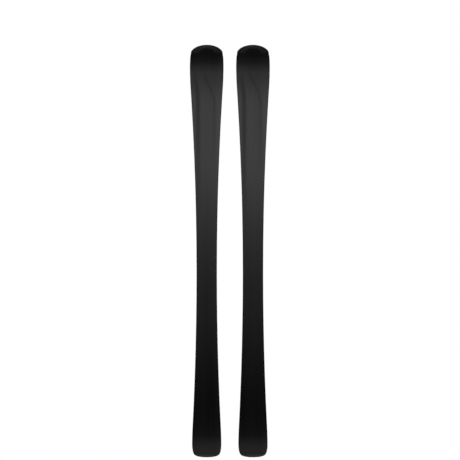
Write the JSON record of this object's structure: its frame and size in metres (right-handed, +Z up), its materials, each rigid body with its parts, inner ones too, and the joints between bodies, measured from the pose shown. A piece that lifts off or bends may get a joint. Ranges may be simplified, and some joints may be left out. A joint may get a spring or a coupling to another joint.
{
  "type": "alpine skis",
  "caption": "Pair of alpine skis with bindings: shaped skis with steel edges and raised tips, toe piece with two wings, sliding heel piece with lever, and ski brake.",
  "frame": {"origin": "on the floor under the middle of the pair, halfway along its length", "axes": "+Z up from the running bases, +Y along the skis towards the tips, +X across to the right ski"},
  "size_m": [0.3094, 1.6, 0.1297],
  "materials": {
    "base": "gloss",
    "edge": "ground",
    "laminate": "satin",
    "wood": "plain",
    "sidewall": "satin",
    "topsheet": "satin",
    "tip": "matte",
    "tail": "satin",
    "rail": "satin",
    "screw": "satin",
    "toe_plate": "satin",
    "toe_body": "satin",
    "wing": "matte",
    "pin": "satin",
    "spring": "satin",
    "adjuster": "satin",
    "afd": "satin",
    "heel_plate": "satin",
    "catch": "satin",
    "heel_body": "satin",
    "lever": "satin",
    "pedal": "matte",
    "wire": "satin",
    "foot": "matte"
  },
  "bodies": {
    "left_ski": {"left_running_base": "base", "left_steel_edges": "edge", "left_laminates": "laminate", "left_wood_core": "wood", "left_sidewalls": "sidewall", "left_top_sheet": "topsheet", "left_tip_insert": "tip", "left_tail_protector": "tail", "left_binding_rail": "rail", "left_mounting_screws": "screw", "left_toe_base": "toe_plate", "left_toe_housing": "toe_body", "left_toe_pins": "pin", "left_toe_spring": "spring"},
    "left_toe_wing_left": {"left_toe_wing_left": "wing"},
    "left_toe_wing_right": {"left_toe_wing_right": "wing"},
    "left_toe_adjuster": {"left_toe_adjuster": "adjuster"},
    "left_afd": {"left_afd_plate": "afd"},
    "left_heel_base": {"left_heel_carriage": "heel_plate"},
    "left_track_catch": {"left_track_lock_lever": "catch"},
    "left_heel": {"left_heel_housing": "heel_body", "left_heel_pins": "pin", "left_heel_spring": "spring"},
    "left_heel_adjuster": {"left_heel_adjuster": "adjuster"},
    "left_heel_lever": {"left_heel_lever": "lever"},
    "left_brake": {"left_brake_pedal": "pedal"},
    "left_brake_left": {"left_brake_arm_left": "wire", "left_brake_foot_left": "foot"},
    "left_brake_right": {"left_brake_arm_right": "wire", "left_brake_foot_right": "foot"},
    "right_ski": {"right_running_base": "base", "right_steel_edges": "edge", "right_laminates": "laminate", "right_wood_core": "wood", "right_sidewalls": "sidewall", "right_top_sheet": "topsheet", "right_tip_insert": "tip", "right_tail_protector": "tail", "right_binding_rail": "rail", "right_mounting_screws": "screw", "right_toe_base": "toe_plate", "right_toe_housing": "toe_body", "right_toe_pins": "pin", "right_toe_spring": "spring"},
    "right_toe_wing_left": {"right_toe_wing_left": "wing"},
    "right_toe_wing_right": {"right_toe_wing_right": "wing"},
    "right_toe_adjuster": {"right_toe_adjuster": "adjuster"},
    "right_afd": {"right_afd_plate": "afd"},
    "right_heel_base": {"right_heel_carriage": "heel_plate"},
    "right_track_catch": {"right_track_lock_lever": "catch"},
    "right_heel": {"right_heel_housing": "heel_body", "right_heel_pins": "pin", "right_heel_spring": "spring"},
    "right_heel_adjuster": {"right_heel_adjuster": "adjuster"},
    "right_heel_lever": {"right_heel_lever": "lever"},
    "right_brake": {"right_brake_pedal": "pedal"},
    "right_brake_left": {"right_brake_arm_left": "wire", "right_brake_foot_left": "foot"},
    "right_brake_right": {"right_brake_arm_right": "wire", "right_brake_foot_right": "foot"}
  },
  "joints": [
    {"name": "left_toe_wing_left_swing", "type": "hinge", "parent": "left_ski", "child": "left_toe_wing_left", "pos_m": [-0.1065, 0.106, 0.054], "axis": [0, 0, -1], "range_deg": [0, 35], "stiffness_Nm_per_rad": 2},
    {"name": "left_toe_wing_right_swing", "type": "hinge", "parent": "left_ski", "child": "left_toe_wing_right", "pos_m": [-0.0725, 0.106, 0.054], "axis": [0, 0, 1], "range_deg": [0, 35], "stiffness_Nm_per_rad": 2},
    {"name": "left_toe_setting", "type": "hinge", "parent": "left_ski", "child": "left_toe_adjuster", "pos_m": [-0.0895, 0.165, 0.047], "axis": [0, 1, 0], "range_deg": [-630, 630]},
    {"name": "left_afd_slide", "type": "slide", "parent": "left_ski", "child": "left_afd", "axis": [1, 0, 0], "range_m": [-0.008, 0.008], "stiffness_N_per_m": 400},
    {"name": "left_heel_base_slide", "type": "slide", "parent": "left_ski", "child": "left_heel_base", "axis": [0, 1, 0], "range_m": [-0.02, 0.02]},
    {"name": "left_track_catch_tilt", "type": "hinge", "parent": "left_heel_base", "child": "left_track_catch", "pos_m": [-0.0895, -0.309, 0.028], "axis": [-1, 0, 0], "range_deg": [0, 25], "stiffness_Nm_per_rad": 0.1},
    {"name": "left_heel_open", "type": "hinge", "parent": "left_heel_base", "child": "left_heel", "pos_m": [-0.0895, -0.252, 0.044], "axis": [1, 0, 0], "range_deg": [0, 38], "stiffness_Nm_per_rad": 3},
    {"name": "left_heel_setting", "type": "hinge", "parent": "left_heel", "child": "left_heel_adjuster", "pos_m": [-0.0895, -0.296, 0.087], "axis": [0, 1, 0], "range_deg": [-630, 630]},
    {"name": "left_heel_lever_press", "type": "hinge", "parent": "left_heel", "child": "left_heel_lever", "pos_m": [-0.0895, -0.268, 0.094], "axis": [1, 0, 0], "range_deg": [0, 11.5]},
    {"name": "left_brake_swing", "type": "hinge", "parent": "left_heel_base", "child": "left_brake", "pos_m": [-0.0895, -0.19, 0.0325], "axis": [1, 0, 0], "range_deg": [0, 75]},
    {"name": "left_brake_left_splay", "type": "hinge", "parent": "left_brake", "child": "left_brake_left", "pos_m": [-0.126, -0.19, 0.0325], "axis": [0, -0.342, -0.9397], "range_deg": [0, 13.2]},
    {"name": "left_brake_right_splay", "type": "hinge", "parent": "left_brake", "child": "left_brake_right", "pos_m": [-0.053, -0.19, 0.0325], "axis": [0, 0.342, 0.9397], "range_deg": [0, 13.2]},
    {"name": "right_toe_wing_left_swing", "type": "hinge", "parent": "right_ski", "child": "right_toe_wing_left", "pos_m": [0.0725, 0.106, 0.054], "axis": [0, 0, -1], "range_deg": [0, 35], "stiffness_Nm_per_rad": 2},
    {"name": "right_toe_wing_right_swing", "type": "hinge", "parent": "right_ski", "child": "right_toe_wing_right", "pos_m": [0.1065, 0.106, 0.054], "axis": [0, 0, 1], "range_deg": [0, 35], "stiffness_Nm_per_rad": 2},
    {"name": "right_toe_setting", "type": "hinge", "parent": "right_ski", "child": "right_toe_adjuster", "pos_m": [0.0895, 0.165, 0.047], "axis": [0, 1, 0], "range_deg": [-630, 630]},
    {"name": "right_afd_slide", "type": "slide", "parent": "right_ski", "child": "right_afd", "axis": [1, 0, 0], "range_m": [-0.008, 0.008], "stiffness_N_per_m": 400},
    {"name": "right_heel_base_slide", "type": "slide", "parent": "right_ski", "child": "right_heel_base", "axis": [0, 1, 0], "range_m": [-0.02, 0.02]},
    {"name": "right_track_catch_tilt", "type": "hinge", "parent": "right_heel_base", "child": "right_track_catch", "pos_m": [0.0895, -0.309, 0.028], "axis": [-1, 0, 0], "range_deg": [0, 25], "stiffness_Nm_per_rad": 0.1},
    {"name": "right_heel_open", "type": "hinge", "parent": "right_heel_base", "child": "right_heel", "pos_m": [0.0895, -0.252, 0.044], "axis": [1, 0, 0], "range_deg": [0, 38], "stiffness_Nm_per_rad": 3},
    {"name": "right_heel_setting", "type": "hinge", "parent": "right_heel", "child": "right_heel_adjuster", "pos_m": [0.0895, -0.296, 0.087], "axis": [0, 1, 0], "range_deg": [-630, 630]},
    {"name": "right_heel_lever_press", "type": "hinge", "parent": "right_heel", "child": "right_heel_lever", "pos_m": [0.0895, -0.268, 0.094], "axis": [1, 0, 0], "range_deg": [0, 11.5]},
    {"name": "right_brake_swing", "type": "hinge", "parent": "right_heel_base", "child": "right_brake", "pos_m": [0.0895, -0.19, 0.0325], "axis": [1, 0, 0], "range_deg": [0, 75]},
    {"name": "right_brake_left_splay", "type": "hinge", "parent": "right_brake", "child": "right_brake_left", "pos_m": [0.053, -0.19, 0.0325], "axis": [0, -0.342, -0.9397], "range_deg": [0, 13.2]},
    {"name": "right_brake_right_splay", "type": "hinge", "parent": "right_brake", "child": "right_brake_right", "pos_m": [0.126, -0.19, 0.0325], "axis": [0, 0.342, 0.9397], "range_deg": [0, 13.2]},
    {"name": "ski_spacing", "type": "slide", "parent": "left_ski", "child": "right_ski", "axis": [1, 0, 0], "range_m": [-0.045, 0.2]}
  ],
  "couplings": [
    {"joint": "left_heel_lever_press", "follows": "left_heel_open", "ratio": 0.3},
    {"joint": "left_brake_left_splay", "follows": "left_brake_swing", "ratio": 0.17333},
    {"joint": "left_brake_right_splay", "follows": "left_brake_swing", "ratio": 0.17333},
    {"joint": "right_heel_lever_press", "follows": "right_heel_open", "ratio": 0.3},
    {"joint": "right_brake_left_splay", "follows": "right_brake_swing", "ratio": 0.17333},
    {"joint": "right_brake_right_splay", "follows": "right_brake_swing", "ratio": 0.17333}
  ]
}
